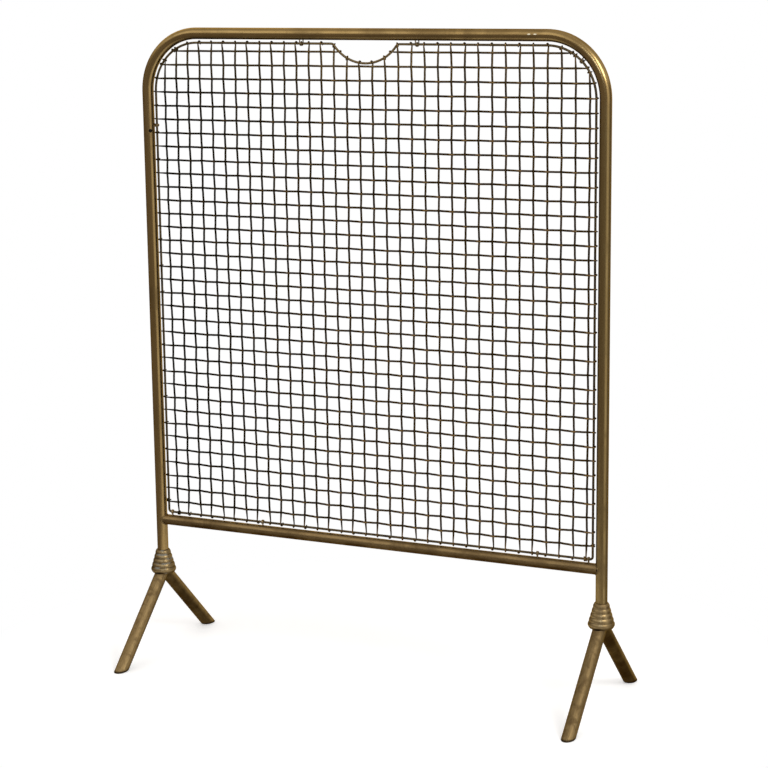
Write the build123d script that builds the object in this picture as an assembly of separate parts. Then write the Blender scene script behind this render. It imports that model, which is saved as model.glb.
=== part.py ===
# Free-standing brass fireplace screen with a woven wire panel.
# Millimetres, +Z up, X along the screen, the room side at -Y.
# The origin is on the floor, in the middle of the footprint.
import os
from math import acos, asin, cos, degrees, floor, hypot, pi, radians, sin, sqrt

from build123d import *

# Frame: one bent tube and a straight rail
frame_width = 692.0        # outside of one upright to outside of the other
frame_height = 900.0       # floor to the top of the hoop
tube_d = 16.0              # hoop tube, outside
tube_wall = 1.2
corner_r = 80.0            # top bends, measured to the tube's axis
rail_d = 15.0              # bottom rail tube, outside
rail_wall = 1.2
rail_height = 193.5        # floor to the rail's axis
braze_gap = 0.1            # film of braze between the rail's ends and the uprights

# Feet: a turned collar and two splayed legs under each upright
collar_base = 114.0        # floor to the underside of the collar
collar_height = 34.0
collar_base_r = 18.2
collar_top_r = 11.0
collar_rings = 5
collar_base_ring = 9.0     # height of the lowest ring, the others share the rest
collar_groove = 0.8        # depth of the grooves between the rings
collar_tuck = 2.2          # how far the lowest ring draws in at its underside
socket_depth = 8.0         # how far the upright enters the collar
slip_fit = 0.12            # radial room of every slip fit in the foot
plug_length = 22.0         # solid plug inside the upright's end
stud_d = 8.0
stud_sink = 6.0            # how far the stud enters the head of the legs
leg_d = 18.5
leg_apex = 118.5           # floor to the point where two leg axes meet
leg_reach = 124.0          # screen plane to the middle of a leg's end
mitre_gap = 0.1            # film of braze between two legs

# Panel: a border rod and woven wires
border_d = 3.2
border_gap = 3.2           # clear space between border rod and tube
border_foot_r = 4.0        # bends at the bottom corners of the border
border_seam = 0.4          # butt joint at the bottom of the border
notch_width = 95.0         # hand hold, between the corners of its shoulders
notch_depth = 25.5
shoulder_r = 6.0
wire_d = 2.7
wire_pitch = 19.0
first_row_drop = 10.2      # top of the border to the first cross wire
edge_room = 9.0            # least distance from an outer wire to the border
weave_gap = 0.2            # room between two wires at a crossing
wire_bend_r = 10.0         # bend of a wire towards the border
hook_gap = 0.2             # room between a wire's end and the border
hook_wrap = 215.0          # degrees that a curled end goes round the border
hook_lean_limit = 50.0     # degrees that the border may lean before a wire's end is cut plain

# Ties that hold the panel: each sits in the gap between two wires at or near its place
tie_d = 1.6
tie_gap = 0.15             # room between a tie and the border or its hole
tie_tail = 2.5             # length of a tie's end inside the tube
tie_top_left_out = 44.0    # from the hand hold's shoulder
tie_top_right_out = 29.0
tie_bottom_left_in = 159.0 # from the upright's axis
tie_bottom_right_in = 99.0
tie_foot_in = 1.6          # from the border's bottom bends
tie_side_left_drop = 56.0  # from the lower end of the top bend

# Values worked out from the sizes above
tube_r = tube_d / 2
rail_r = rail_d / 2
upright_x = frame_width / 2 - tube_r
top_z = frame_height - tube_r
bend_x = upright_x - corner_r
bend_z = top_z - corner_r
collar_top = collar_base + collar_height
tube_end = collar_top - socket_depth
border_r = border_d / 2
wire_r = wire_d / 2
tie_r = tie_d / 2
border_to_tube = border_r + border_gap
border_offset = tube_r + border_to_tube
border_x = upright_x - border_offset
border_top_z = top_z - border_offset
border_bottom_z = rail_height + rail_r + border_to_tube
border_corner_r = corner_r - border_offset
wire_clear = border_r + wire_r + hook_gap
tie_bend_r = border_r + tie_r + tie_gap
layer_y = (wire_d + weave_gap) / 2

# The hand hold is an arc, joined to the border's top run by two small shoulder bends
notch_r = ((notch_width / 2) ** 2 + notch_depth ** 2) / (2 * notch_depth)
notch_z = border_top_z - notch_depth + notch_r
shoulder_z = border_top_z - shoulder_r
shoulder_x = sqrt((notch_r + shoulder_r) ** 2 - (notch_z - shoulder_z) ** 2)
notch_end_x = shoulder_x * notch_r / (notch_r + shoulder_r)
notch_end_z = notch_z - (notch_z - shoulder_z) * notch_r / (notch_r + shoulder_r)

# Places of the wires
column_count = floor((2 * border_x - 2 * edge_room) / wire_pitch) + 1
column_x = [(i - (column_count - 1) / 2) * wire_pitch for i in range(column_count)]
row_top = border_top_z - first_row_drop
row_count = floor((row_top - border_bottom_z - edge_room) / wire_pitch) + 1
row_z = [row_top - j * wire_pitch for j in range(row_count)]


def round_bar(path, radius):
    """Solid round bar along a path of lines and arcs."""
    section = Plane(origin=path @ 0, z_dir=path % 0) * Circle(radius)
    return sweep(section, path=path).solid()


def rod(radius, start, end):
    """Straight round bar between two points."""
    axis = Vector(*end) - Vector(*start)
    return extrude(Plane(origin=start, z_dir=axis) * Circle(radius), axis.length).solid()


def joined(curves):
    """One path from curves that follow each other."""
    return Wire([curve.edge() for curve in curves])


def mid_gap(place, first):
    """Middle of the gap between two wires that a place falls in."""
    return first + floor((place - first) / wire_pitch) * wire_pitch + wire_pitch / 2


def tie_places():
    """Name, point on the border's axis and direction to the tube, for the hoop and for the rail."""
    slant = sqrt(0.5)
    diagonal = border_corner_r * slant
    top_left_x = mid_gap(-shoulder_x - tie_top_left_out, column_x[0])
    top_right_x = mid_gap(shoulder_x + tie_top_right_out, column_x[0])
    bottom_left_x = mid_gap(tie_bottom_left_in - upright_x, column_x[0])
    bottom_right_x = mid_gap(upright_x - tie_bottom_right_in, column_x[0])
    side_left_z = mid_gap(bend_z - tie_side_left_drop, row_z[0])
    foot_x = border_x - border_foot_r - tie_foot_in
    hoop = {
        "tie_top_left": ((top_left_x, border_top_z), (0, 1)),
        "tie_top_right": ((top_right_x, border_top_z), (0, 1)),
        "tie_side_left": ((-border_x, side_left_z), (-1, 0)),
        "tie_corner_right": ((bend_x + diagonal, bend_z + diagonal), (slant, slant)),
    }
    rail = {
        "tie_foot_left": ((-foot_x, border_bottom_z), (0, -1)),
        "tie_foot_right": ((foot_x, border_bottom_z), (0, -1)),
        "tie_bottom_left": ((bottom_left_x, border_bottom_z), (0, -1)),
        "tie_bottom_right": ((bottom_right_x, border_bottom_z), (0, -1)),
    }
    return hoop, rail


def tie_plane(place, toward):
    """Plane across the border at a tie, with its x axis pointing at the tube."""
    along = (-toward[1], 0, toward[0])
    return Plane(origin=(place[0], 0, place[1]), x_dir=(toward[0], 0, toward[1]), z_dir=along)


def tie_wire(place, toward, radius, wall):
    """Hairpin round the border, with both ends through the tube's wall."""
    tip = border_to_tube + radius - sqrt((radius - wall) ** 2 - tie_bend_r ** 2) + tie_tail
    front = Line((tip, -tie_bend_r), (0, -tie_bend_r))
    bend = ThreePointArc((0, -tie_bend_r), (-tie_bend_r, 0), (0, tie_bend_r))
    back = Line((0, tie_bend_r), (tip, tie_bend_r))
    return round_bar(tie_plane(place, toward) * joined([front, bend, back]), tie_r)


def tie_holes(place, toward, radius):
    """The two drillings that a tie's ends go through, as deep as the tube's axis."""
    plane = tie_plane(place, toward)
    holes = []
    for side in (-1, 1):
        start = plane.from_local_coords((0, side * tie_bend_r, 0))
        end = plane.from_local_coords((border_to_tube + radius, side * tie_bend_r, 0))
        holes.append(rod(tie_r + tie_gap, tuple(start), tuple(end)))
    return holes


def frame_hoop():
    """Bent tube from one collar over the top to the other, drilled for its ties."""
    reach = corner_r * sqrt(0.5)

    def half(side):
        foot = (side * upright_x, 0, tube_end)
        bend_low = (side * upright_x, 0, bend_z)
        bend_mid = (side * (bend_x + reach), 0, bend_z + reach)
        bend_high = (side * bend_x, 0, top_z)
        return [Line(foot, bend_low), ThreePointArc(bend_low, bend_mid, bend_high)]

    top = Line((-bend_x, 0, top_z), (bend_x, 0, top_z))
    path = joined(half(-1) + [top] + half(1)[::-1])
    tube = round_bar(path, tube_r) - round_bar(path, tube_r - tube_wall)
    for place, toward in tie_places()[0].values():
        tube -= tie_holes(place, toward, tube_r)
    return tube


def bottom_rail():
    """Tube between the uprights, its ends hollowed to fit round them, drilled for its ties."""
    ends = (-upright_x, 0, rail_height), (upright_x, 0, rail_height)
    tube = rod(rail_r, *ends) - rod(rail_r - rail_wall, *ends)
    for x in (-upright_x, upright_x):
        tube -= Pos(x, 0, rail_height) * Cylinder(tube_r + braze_gap, 2 * rail_d)
    for place, toward in tie_places()[1].values():
        tube -= tie_holes(place, toward, rail_r)
    return tube


def collar():
    """Turned cone of rounded rings, bored for the stud and sunk for the upright."""
    ring_height = (collar_height - collar_base_ring) / (collar_rings - 1)
    ring_step = (collar_base_r - collar_top_r) / (collar_rings - 1)
    edges = [Line((0, 0), (collar_base_r - collar_tuck, 0))]
    for k in range(collar_rings):
        ring_r = collar_base_r - k * ring_step
        ring_foot = edges[-1] @ 1
        ring_top = collar_base_ring + k * ring_height
        crown = (ring_r, (ring_foot.Y + ring_top) / 2)
        groove = (ring_r - ring_step / 2 - collar_groove, ring_top)
        edges.append(ThreePointArc(ring_foot, crown, groove))
    edges.append(Line(edges[-1] @ 1, (0, collar_height)))
    edges.append(Line((0, collar_height), (0, 0)))
    body = revolve(Plane.XZ * make_face(joined(edges)), Axis.Z)
    body -= Pos(0, 0, collar_height / 2) * Cylinder(stud_d / 2 + slip_fit, 2 * collar_height)
    body -= Pos(0, 0, collar_height) * Cylinder(tube_r + slip_fit, 2 * socket_depth)
    return Pos(0, 0, collar_base) * body


def tube_plug():
    """Plug in the upright's end, bored for the stud."""
    body = Cylinder(tube_r - tube_wall - slip_fit, plug_length)
    body -= Cylinder(stud_d / 2 + slip_fit, 2 * plug_length)
    return Pos(0, 0, tube_end + plug_length / 2) * body


def stud():
    """Stud from the head of the legs to the top of the plug."""
    return rod(stud_d / 2, (0, 0, collar_base - stud_sink), (0, 0, tube_end + plug_length))


def leg(side):
    """Splayed bar, mitred to its partner, flat under the collar and flat on the floor."""
    bar = rod(leg_d / 2, (0, -side * leg_reach, 2 * leg_apex), (0, 2 * side * leg_reach, -leg_apex))
    room = Box(2 * leg_d, 2 * leg_reach, collar_base)
    bar = bar & Pos(0, side * (leg_reach + mitre_gap / 2), collar_base / 2) * room
    return bar - rod(stud_d / 2 + slip_fit, (0, 0, collar_base - stud_sink), (0, 0, collar_base))


def mesh_border():
    """Rod bent round the panel, with the hand hold's dip in its top run."""
    corner = border_corner_r * sqrt(0.5)
    foot = border_foot_r * (1 - sqrt(0.5))
    foot_x = border_x - border_foot_r
    foot_z = border_bottom_z + border_foot_r
    turn = acos((notch_z - shoulder_z) / (notch_r + shoulder_r)) / 2
    shoulder = (shoulder_x - shoulder_r * sin(turn), shoulder_z + shoulder_r * cos(turn))

    def half(side):
        points = [(border_seam / 2, border_bottom_z), (foot_x, border_bottom_z),
                  (border_x - foot, border_bottom_z + foot), (border_x, foot_z),
                  (border_x, bend_z), (bend_x + corner, bend_z + corner),
                  (bend_x, border_top_z), (shoulder_x, border_top_z), shoulder,
                  (notch_end_x, notch_end_z)]
        p = [(side * x, 0, z) for x, z in points]
        return [Line(p[0], p[1]), ThreePointArc(p[1], p[2], p[3]), Line(p[3], p[4]),
                ThreePointArc(p[4], p[5], p[6]), Line(p[6], p[7]), ThreePointArc(p[7], p[8], p[9])]

    ends = [(side * notch_end_x, 0, notch_end_z) for side in (1, -1)]
    dip = ThreePointArc(ends[0], (0, 0, notch_z - notch_r), ends[1])
    return round_bar(joined(half(1) + [dip] + half(-1)[::-1]), border_r)


def arc_end(run, radius, clear):
    """How far a wire reaches beside an arc's centre: curled end (place, lean) or cut end (place, None)."""
    lean = degrees(asin(min(1, run / radius)))
    if lean > hook_lean_limit:
        return sqrt((radius + clear) ** 2 - run ** 2), None
    return sqrt(radius ** 2 - run ** 2), lean


def column_top(x):
    """Top end of an upright wire."""
    x = abs(x)
    if x < notch_end_x:
        drop, lean = arc_end(x, notch_r, wire_clear)
        return notch_z - drop, lean
    if x < shoulder_x:
        rise, lean = arc_end(shoulder_x - x, shoulder_r, -wire_clear)
        return shoulder_z + rise, lean
    if x < bend_x:
        return border_top_z, 0.0
    rise, lean = arc_end(x - bend_x, border_corner_r, -wire_clear)
    return bend_z + rise, lean


def row_side(z):
    """Outer end of a cross wire, as a distance from the middle."""
    if z < bend_z:
        return border_x, 0.0
    reach, lean = arc_end(z - bend_z, border_corner_r, -wire_clear)
    return bend_x + reach, lean


def row_notch(z):
    """Inner end of a cross wire that the hand hold cuts in two, or None."""
    if notch_z - z > notch_r + wire_clear:
        return None
    return arc_end(notch_z - z, notch_r, wire_clear)


def reach_limit(end):
    """Last place on a wire, from its end, that another wire can cross."""
    lean = end[1]
    return wire_d if lean is None else wire_clear / cos(radians(lean)) + wire_r


def crosses(x, z):
    """Whether the upright wire at x and the cross wire at z meet."""
    top = column_top(x)
    side = row_side(z)
    notch = row_notch(z)
    if z > top[0] - reach_limit(top) or abs(x) > side[0] - reach_limit(side):
        return False
    return notch is None or abs(x) > notch[0] + reach_limit(notch)


def wire_end(crossing, end, forward):
    """From a wire's last crossing: the end of its straight run, and its curl's middle and tip."""
    u, y = crossing
    side = 1 if y > 0 else -1
    place, lean = end
    gap = abs(place - u)
    if lean is None:
        return (place, y), None
    radius = wire_clear / cos(radians(lean))
    span = hypot(gap, y)
    heading = asin(radius / span) - asin(abs(y) / span)

    def on_curl(turn):
        angle = heading + pi / 2 - radians(turn)
        return u + forward * (gap + radius * cos(angle)), side * radius * sin(angle)

    return on_curl(0), (on_curl(hook_wrap / 2), on_curl(hook_wrap))


def mesh_wire(first_crossing, last_crossing, y, first_end, last_end):
    """Wire along X in its own layer, turned at its outer crossings to curl round the border."""
    turns = [(first_crossing, y), (last_crossing, y)]
    first_run, first_curl = wire_end(turns[0], first_end, -1)
    last_run, last_curl = wire_end(turns[1], last_end, 1)
    points = [Vector(*p) for p in [first_run] + turns + [last_run]]
    curves = []
    if first_curl:
        curves.append(ThreePointArc(first_curl[1], first_curl[0], first_run))
    here = points[0]
    for before, corner, after in zip(points, points[1:], points[2:]):
        into = (corner - before).normalized()
        out = (after - corner).normalized()
        half = radians(into.get_angle(out)) / 2
        tangent = wire_bend_r * sin(half) / cos(half)
        if tangent > 0:
            curves.append(Line(here, corner - into * tangent))
            here = corner + out * tangent
            curves.append(TangentArc(curves[-1] @ 1, here, tangent=into))
    curves.append(Line(here, points[-1]))
    if last_curl:
        curves.append(ThreePointArc(last_run, last_curl[0], last_curl[1]))
    return round_bar(joined(curves), wire_r)


def column_wires():
    """Upright wires in the room-side layer, grouped by what their top end meets."""
    groups = {"upright_wires": [], "corner_upright_wires": [], "hand_hold_upright_wires": []}
    upward = Plane(origin=(0, 0, 0), x_dir=(0, 0, 1), z_dir=(-1, 0, 0))
    for x in column_x:
        met = [z for z in row_z if crosses(x, z)]
        wire = mesh_wire(min(met), max(met), -layer_y, (border_bottom_z, 0.0), column_top(x))
        name = "upright_wires"
        if abs(x) > bend_x:
            name = "corner_upright_wires"
        if abs(x) < shoulder_x:
            name = "hand_hold_upright_wires"
        groups[name].append(Pos(x, 0, 0) * (upward * wire))
    return groups


def row_wires():
    """Cross wires in the fire-side layer, grouped by what their ends meet."""
    groups = {"cross_wires": [], "corner_cross_wires": [], "top_left_cross_wires": [],
              "top_right_cross_wires": []}
    for z in row_z:
        side = row_side(z)
        notch = row_notch(z)
        met = [x for x in column_x if crosses(x, z)]
        left_end = (-side[0], side[1])
        if notch:
            left = [x for x in met if x < 0]
            right = [x for x in met if x > 0]
            inner = (-notch[0], notch[1])
            wires = {"top_left_cross_wires": mesh_wire(min(left), max(left), layer_y, left_end, inner),
                     "top_right_cross_wires": mesh_wire(min(right), max(right), layer_y, notch, side)}
        else:
            name = "corner_cross_wires" if z > bend_z else "cross_wires"
            wires = {name: mesh_wire(min(met), max(met), layer_y, left_end, side)}
        for name, wire in wires.items():
            groups[name].append(Pos(0, 0, z) * wire)
    return groups


nodes = {"frame_hoop": frame_hoop(), "bottom_rail": bottom_rail(), "mesh_border": mesh_border()}
for side_name, foot_x in (("left", -upright_x), ("right", upright_x)):
    foot = {"collar": collar(), "tube_plug": tube_plug(), "stud": stud(),
            "front_leg": leg(-1), "back_leg": leg(1)}
    for piece_name, piece in foot.items():
        nodes[f"{side_name}_{piece_name}"] = Pos(foot_x, 0, 0) * piece
for name, (place, toward) in tie_places()[0].items():
    nodes[name] = tie_wire(place, toward, tube_r, tube_wall)
for name, (place, toward) in tie_places()[1].items():
    nodes[name] = tie_wire(place, toward, rail_r, rail_wall)
for wire_groups in (column_wires(), row_wires()):
    for name, wires in wire_groups.items():
        if wires:
            nodes[name] = Compound(children=wires)

os.makedirs("parts", exist_ok=True)
for name, shape in nodes.items():
    export_step(shape, f"parts/{name}.step")
print("columns", column_count, "rows", row_count, "nodes", len(nodes))
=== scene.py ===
# %% [markdown]
# # A fireplace screen in aged brass
# The screen is a bent brass tube on four splayed legs. It holds a panel of woven wire with a
# small dip in the middle of its top edge, where a hand lifts the screen. The CAD model gives every
# place and size. This lesson makes smoother and more lively pieces in those places, with old metal
# on them, and sets up soft studio light and a camera for a picture.

# %% Open the frame
import math

import bpy
from mathutils import Matrix, Vector


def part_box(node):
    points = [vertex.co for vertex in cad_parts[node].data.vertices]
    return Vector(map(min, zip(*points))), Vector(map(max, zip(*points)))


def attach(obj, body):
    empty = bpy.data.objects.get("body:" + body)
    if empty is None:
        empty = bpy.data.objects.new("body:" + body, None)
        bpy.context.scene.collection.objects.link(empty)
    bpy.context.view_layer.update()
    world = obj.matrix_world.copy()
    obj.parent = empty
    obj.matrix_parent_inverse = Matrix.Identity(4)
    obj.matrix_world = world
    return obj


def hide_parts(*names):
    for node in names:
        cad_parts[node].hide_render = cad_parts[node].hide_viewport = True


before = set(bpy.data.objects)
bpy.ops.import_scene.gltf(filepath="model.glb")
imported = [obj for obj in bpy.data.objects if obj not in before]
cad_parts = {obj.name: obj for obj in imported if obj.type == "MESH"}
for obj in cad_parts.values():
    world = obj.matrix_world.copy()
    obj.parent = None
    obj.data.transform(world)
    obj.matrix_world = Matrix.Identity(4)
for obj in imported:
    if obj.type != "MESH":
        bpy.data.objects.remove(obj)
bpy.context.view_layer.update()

# %% [markdown]
# ## Sizes
# Most sizes can be read from the boxes of the CAD nodes, so they follow the CAD model. The bends,
# the dip and the spacing of the wires can't be read from a box, so they are written here once, in
# millimetres turned into metres.

# %% Sizes of the frame
MM = 0.001
hoop_low, hoop_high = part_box("frame_hoop")
tube_r = hoop_high.y
upright_x = hoop_high.x - tube_r
top_z = hoop_high.z - tube_r
bend_r = 80 * MM
bend_x, bend_z = upright_x - bend_r, top_z - bend_r

rail_low, rail_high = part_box("bottom_rail")
rail_r = rail_high.y
rail_z = (rail_low.z + rail_high.z) / 2
print("upright at", round(upright_x, 4), "top at", round(top_z, 4), "rail at", round(rail_z, 4))

# %% Sizes of the panel
border_low, border_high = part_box("mesh_border")
border_r = border_high.y
border_x = border_high.x - border_r
border_top = border_high.z - border_r
border_foot = border_low.z + border_r
border_bend_r = bend_r - (upright_x - border_x)
border_foot_r = 4 * MM

wire_r = 1.42 * MM
wire_pitch = 19 * MM
column_count, row_count = 34, 35
first_row_drop = 10.2 * MM
even_x = [(i - (column_count - 1) / 2) * wire_pitch for i in range(column_count)]
even_z = [border_top - first_row_drop - j * wire_pitch for j in range(row_count)]
print("border at", round(border_x, 4), "from", round(border_foot, 4), "to", round(border_top, 4))

# %% Sizes of the hand hold
shoulder_r = 6 * MM
dip_width, dip_depth = 95 * MM, 25.5 * MM
dip_r = ((dip_width / 2) ** 2 + dip_depth ** 2) / (2 * dip_depth)
dip_z = border_top - dip_depth + dip_r
shoulder_z = border_top - shoulder_r
shoulder_x = math.sqrt((dip_r + shoulder_r) ** 2 - (dip_z - shoulder_z) ** 2)
dip_half = math.degrees(math.asin(shoulder_x / (dip_r + shoulder_r)))
dip_end_x = dip_r * math.sin(math.radians(dip_half))
print("hand hold", round(dip_end_x * 2, 4), "wide between its shoulders")

# %% [markdown]
# ## Small helpers for node trees
# Both geometry and materials are made of nodes here. One helper adds a node, sets its settings and
# fills its sockets, either with a value or with a link from another node's output. The others build
# on it: sums, masks and colours first, and then whole trees.

# %% Node helpers
def add(tree, kind, inputs=None, **settings):
    """A new node with its settings, and with values or links in its sockets."""
    made = tree.nodes.new(kind)
    for name, value in settings.items():
        setattr(made, name, value)
    for key, value in (inputs or {}).items():
        if isinstance(value, bpy.types.NodeSocket):
            tree.links.new(value, made.inputs[key])
        else:
            made.inputs[key].default_value = value
    return made


def result(tree, kind, inputs=None, **settings):
    """First output of a new node."""
    return add(tree, kind, inputs, **settings).outputs[0]


print("node helpers ready")

# %% Helpers for numbers and colours
def math_node(tree, operation, a, b=0.0):
    """Output of a Math node."""
    return result(tree, "ShaderNodeMath", {0: a, 1: b}, operation=operation)


def times(tree, a, b):
    """Output of a Math node that multiplies."""
    return math_node(tree, "MULTIPLY", a, b)


def vector_node(tree, operation, a, b=(0.0, 0.0, 0.0)):
    """Output of a Vector Math node: a number for a length or a dot product, or else a vector."""
    made = add(tree, "ShaderNodeVectorMath", {0: a, 1: b}, operation=operation)
    return made.outputs["Value" if operation in ("LENGTH", "DOT_PRODUCT") else "Vector"]


def scaled(tree, vector, amount):
    """A vector, or a colour, times a number."""
    return result(tree, "ShaderNodeVectorMath", {0: vector, "Scale": amount}, operation="SCALE")


def axes_of(tree, vector):
    """The X, Y and Z outputs of a vector."""
    return add(tree, "ShaderNodeSeparateXYZ", {0: vector}).outputs


def noise_value(tree, vector, scale, detail, rough=0.5, distortion=0.0):
    """Grey value of a noise texture, mostly between 0.3 and 0.7."""
    return result(tree, "ShaderNodeTexNoise", {
        "Vector": vector, "Scale": scale, "Detail": detail, "Roughness": rough, "Distortion": distortion})


def remap(tree, value, low, high, to_low=0.0, to_high=1.0, soft=True):
    """Value between low and high, stretched to a new range."""
    sockets = {"Value": value, "From Min": low, "From Max": high, "To Min": to_low, "To Max": to_high}
    kind = "SMOOTHSTEP" if soft else "LINEAR"
    return result(tree, "ShaderNodeMapRange", sockets, interpolation_type=kind)


def blend_colour(tree, amount, a, b):
    """Colour a turning into colour b."""
    return add(tree, "ShaderNodeMix", {0: amount, 6: a, 7: b}, data_type="RGBA").outputs[2]


print("helpers for numbers and colours ready")

# %% Helpers for new trees
def new_tree(name, kind, inputs, outputs):
    """An empty node group with named sockets, and its two ends."""
    tree = bpy.data.node_groups.new(name, kind)
    for in_out, sockets in (("INPUT", inputs), ("OUTPUT", outputs)):
        for label, socket in sockets.items():
            tree.interface.new_socket(label, in_out=in_out, socket_type="NodeSocket" + socket)
    start = tree.nodes.new("NodeGroupInput").outputs
    end = tree.nodes.new("NodeGroupOutput").inputs
    return tree, start, end


def blank_material(name):
    """A new material and its emptied tree."""
    material = bpy.data.materials.new(name)
    material.use_nodes = True
    material.node_tree.nodes.clear()
    return material, material.node_tree


print("helpers for new trees ready")

# %% [markdown]
# ## Tarnish
# Old brass is never one colour. Large cloudy patches have darkened, fine streaks run where it was
# wiped, and tiny specks of dirt sit on top. One shader group works out a mask for each of these, and
# a colour and a height from them. Every metal of the screen uses it with its own colours and scales.

# %% Shader group for tarnish
bright_share, dark_share, dirt_share = 0.8, 0.7, 0.55
streak_height = 1.5


def tarnish_group():
    tree, given, out = new_tree("tarnish", "ShaderNodeTree", {
        "Place": "Vector", "Along": "Vector", "Body": "Color", "Dark": "Color", "Bright": "Color",
        "Cloud Scale": "Float", "Streak Scale": "Float", "Speck Scale": "Float",
    }, {"Color": "Color", "Cloud": "Float", "Speck": "Float", "Height": "Float"})
    cloud = noise_value(tree, given["Place"], given["Cloud Scale"], detail=5.0, rough=0.62, distortion=0.6)
    streak = noise_value(tree, given["Along"], given["Streak Scale"], detail=4.0, rough=0.6)
    speck = noise_value(tree, given["Place"], given["Speck Scale"], detail=3.0, rough=0.7)
    # Each mask starts at the first noise value and is full at the second
    dark = remap(tree, cloud, 0.44, 0.70)
    bright = remap(tree, streak, 0.48, 0.72)
    darkening = remap(tree, speck, 0.56, 0.72)
    colour = blend_colour(tree, times(tree, bright, bright_share), given["Body"], given["Bright"])
    colour = blend_colour(tree, times(tree, dark, dark_share), colour, given["Dark"])
    colour = blend_colour(tree, times(tree, darkening, dirt_share), colour, given["Dark"])
    height = math_node(tree, "ADD", speck, times(tree, streak, streak_height))
    for label, value in {"Color": colour, "Cloud": dark, "Speck": darkening, "Height": height}.items():
        tree.links.new(value, out[label])
    return tree


tarnish = tarnish_group()
print("shader group", tarnish.name, "with", len(tarnish.nodes), "nodes")

# %% [markdown]
# ## Painted shade
# The undersides of the tubes and their sides that face the wires are painted nearly black, as
# painted shade and painted dark reflection, in uneven patches. A second shader group finds these
# places from the way that the surface faces: a mask for what faces down, and one for what faces
# the middle of the panel.

# %% Shader group for painted shade
patch_scale, thinnest_painted_shade = 40.0, 0.78
inner_start, inner_full = -0.55, -0.95


def painted_shade_group():
    tree, given, out = new_tree("painted_shade", "ShaderNodeTree", {
        "Place": "Vector", "Facing": "Vector", "Start": "Float", "Full": "Float",
    }, {"Under": "Float", "Inner": "Float"})
    side = axes_of(tree, given["Place"])["X"]
    facing = axes_of(tree, given["Facing"])
    patches = noise_value(tree, given["Place"], patch_scale, detail=4.0)
    uneven = remap(tree, patches, 0.3, 0.7, thinnest_painted_shade, 1.0)
    # Painted shade: masks of what faces down and of what faces the middle of the panel
    under = remap(tree, facing["Z"], given["Start"], given["Full"])
    outward = times(tree, math_node(tree, "SIGN", side), facing["X"])
    inner = remap(tree, outward, inner_start, inner_full)
    tree.links.new(times(tree, under, uneven), out["Under"])
    tree.links.new(times(tree, inner, uneven), out["Inner"])
    return tree


painted_shade = painted_shade_group()
print("shader group", painted_shade.name, "with", len(painted_shade.nodes), "nodes")

# %% [markdown]
# ## The metals
# All the metals are Principled shaders with high metallic values. A bar's own attribute tells how
# far along and how far round it a point is, so that streaks follow a bend instead of cutting through
# it. A second attribute marks crevices, where dirt and pale polish residue stay. Every metal gets
# painted shade, nearly black, underneath and on the sides that face the wires. Some metals have a
# function of their own, which adds wear and, on some, painted shade or a painted highlight to the
# colour and the roughness.

# %% Material maker
tarnish_rough, speck_metal = 0.18, 0.75
crevice_soot, residue_scale = 0.75, 95.0
residue_rough, residue_matt = 0.3, 0.7


# The dark soot colour is the colour of the painted shade, and of the soot in the crevices
def old_metal(name, body, dark, bright, cloud=22.0, streak=4.0, speck=500.0, rough=0.30, bump=0.25,
              under=0.85, start=0.15, full=-0.55, inner=0.0, blackening=(0.050, 0.032, 0.014), crevice=None,
              wear_and_painted_light=None):
    """Tarnished metal with streaks along the bar, painted shade underneath and on the sides that face the
    wires, and its own wear and painted light.
    """
    material, tree = blank_material(name)
    coordinates = add(tree, "ShaderNodeTexCoord").outputs
    bar = add(tree, "ShaderNodeAttribute", attribute_name="bar").outputs["Vector"]
    along = result(tree, "ShaderNodeMapping", {"Vector": bar, "Scale": (2.0, 2.0, 4.0)})
    group = add(tree, "ShaderNodeGroup", {
        "Place": coordinates["Object"], "Along": along, "Body": (*body, 1), "Dark": (*dark, 1),
        "Bright": (*bright, 1), "Cloud Scale": cloud, "Streak Scale": streak, "Speck Scale": speck,
    }, node_tree=tarnish)
    # Painted shade: what faces down and what faces the wires is blended to the dark soot colour
    darkening = add(tree, "ShaderNodeGroup", {
        "Place": coordinates["Object"], "Facing": coordinates["Normal"], "Start": start, "Full": full,
    }, node_tree=painted_shade)
    low_side = times(tree, darkening.outputs["Under"], under)
    wire_side = times(tree, darkening.outputs["Inner"], inner)
    painted_shade_amount = math_node(tree, "MAXIMUM", low_side, wire_side)
    colour = blend_colour(tree, painted_shade_amount, group.outputs["Color"], (*blackening, 1))
    dull = times(tree, math_node(tree, "MAXIMUM", group.outputs["Cloud"], painted_shade_amount), tarnish_rough)
    roughness = math_node(tree, "ADD", dull, rough)
    metallic = remap(tree, group.outputs["Speck"], 0.0, 1.0, 1.0, speck_metal, soft=False)
    if crevice:
        mark = add(tree, "ShaderNodeAttribute", attribute_name="crevice").outputs["Fac"]
        colour = blend_colour(tree, times(tree, mark, crevice_soot), colour, (*blackening, 1))
        spots = noise_value(tree, coordinates["Object"], residue_scale, detail=3.0)
        spots = remap(tree, spots, 0.50, 0.62)
        residue = times(tree, spots, remap(tree, mark, 0.15, 0.7))
        colour = blend_colour(tree, residue, colour, (*crevice, 1))
        roughness = math_node(tree, "ADD", roughness, times(tree, residue, residue_rough))
        metallic = math_node(tree, "SUBTRACT", metallic, times(tree, residue, residue_matt))
    if wear_and_painted_light:
        colour, roughness = wear_and_painted_light(tree, coordinates["Object"], colour, roughness)
    grain = result(tree, "ShaderNodeBump", {
        "Height": group.outputs["Height"], "Strength": bump, "Distance": 0.4 * MM})
    shader = result(tree, "ShaderNodeBsdfPrincipled", {
        "Base Color": colour, "Roughness": roughness, "Metallic": metallic, "Normal": grain,
        "Specular Tint": (0.62, 0.47, 0.30, 1), "Specular IOR Level": 0.3})
    add(tree, "ShaderNodeOutputMaterial", {"Surface": shader})
    return material


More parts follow.
